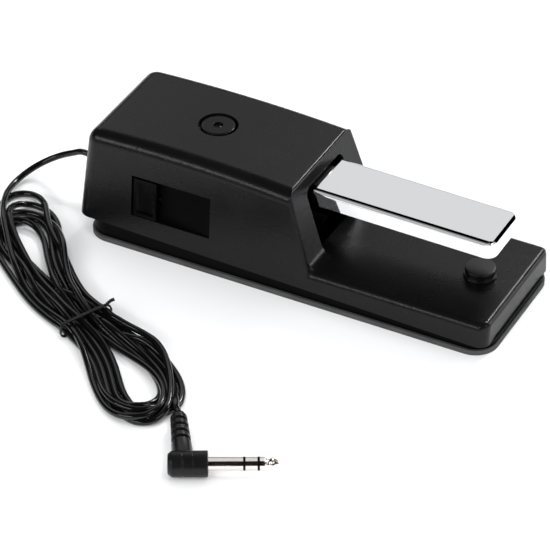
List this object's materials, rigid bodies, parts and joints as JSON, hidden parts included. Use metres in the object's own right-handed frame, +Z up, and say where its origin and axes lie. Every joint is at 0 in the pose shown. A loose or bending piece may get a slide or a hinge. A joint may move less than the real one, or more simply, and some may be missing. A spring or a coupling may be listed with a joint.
{
  "type": "sustain pedal",
  "caption": "Floor sustain pedal with a hinged chromed lever, a side mode slide switch and a tied cord ending in a right-angle jack plug.",
  "frame": {"origin": "on the floor under the middle of the base, leaving out the cord", "axes": "+X from the cord end to the foot end, +Y away from the side with the slide switch, +Z up"},
  "size_m": [0.2711, 0.2187, 0.0596],
  "materials": {
    "black_shell": "satin moulded black plastic",
    "black_cover": "matte black plastic",
    "black_gloss": "smooth black plastic",
    "sole_rubber": "matte rubber sheet",
    "black_rubber": "smooth moulded rubber",
    "chrome_plate": "polished plating",
    "plated_steel": "bright plated",
    "zinc_steel": "zinc plated sheet",
    "dark_steel": "black finished steel",
    "white_nylon": "natural nylon",
    "stop_felt": "dense felt",
    "sensor_case": "moulded component case",
    "green_board": "lacquered laminate",
    "cord_jacket": "glossy black PVC jacket",
    "red_leads": "PVC insulation",
    "tie_coating": "plastic coated wire"
  },
  "bodies": {
    "base": {"upper_housing": "black_shell", "bottom_cover": "black_cover", "rubber_sole": "sole_rubber", "housing_screws": "plated_steel", "frame_bracket": "zinc_steel", "bracket_screws": "plated_steel", "pivot_bushes": "white_nylon", "up_stop_pad": "stop_felt", "spring_cup_lower": "white_nylon", "return_spring": "plated_steel", "pedal_bumper": "black_rubber", "bumper_clip": "zinc_steel", "pot_body": "sensor_case", "pot_nut": "plated_steel", "circuit_board": "green_board", "board_screws": "plated_steel", "board_connector": "white_nylon", "switch_body": "sensor_case", "top_cap": "black_gloss", "top_cap_screw": "dark_steel", "cord_grommet": "black_rubber", "cord_clamp": "zinc_steel", "clamp_screws": "plated_steel", "inner_cord": "cord_jacket", "pot_leads": "red_leads", "cord_lead": "cord_jacket", "cord_hank": "cord_jacket", "cord_tail": "cord_jacket", "hank_tie": "tie_coating", "plug_boot": "black_rubber", "plug_body": "black_gloss", "plug_sleeve": "chrome_plate", "plug_ring": "chrome_plate", "plug_tip": "chrome_plate", "plug_insulators": "black_gloss"},
    "pedal": {"pivot_shaft": "plated_steel", "shaft_clips": "dark_steel", "pedal_arm": "dark_steel", "pedal_plate": "chrome_plate", "plate_screws": "plated_steel", "spring_cup_upper": "white_nylon", "sector_gear": "white_nylon", "sector_screws": "plated_steel"},
    "pot_rotor": {"pot_shaft": "plated_steel", "pot_pinion": "white_nylon"},
    "slide_knob": {"switch_knob": "black_shell", "switch_slider": "white_nylon"}
  },
  "joints": [
    {"name": "pedal_hinge", "type": "hinge", "parent": "base", "child": "pedal", "pos_m": [-0.08, 0, 0.04], "axis": [0, 1, 0], "range_deg": [0, 5.2], "stiffness_Nm_per_rad": 8, "springref_deg": -5.73, "deforming": ["return_spring"]},
    {"name": "pot_turn", "type": "hinge", "parent": "base", "child": "pot_rotor", "pos_m": [-0.04194, 0, 0.02225], "axis": [0, 1, 0], "range_deg": [-32, 1]},
    {"name": "knob_slide", "type": "slide", "parent": "base", "child": "slide_knob", "axis": [1, 0, 0], "range_m": [0, 0.004]}
  ],
  "couplings": [
    {"joint": "pot_turn", "follows": "pedal_hinge", "ratio": -6}
  ]
}
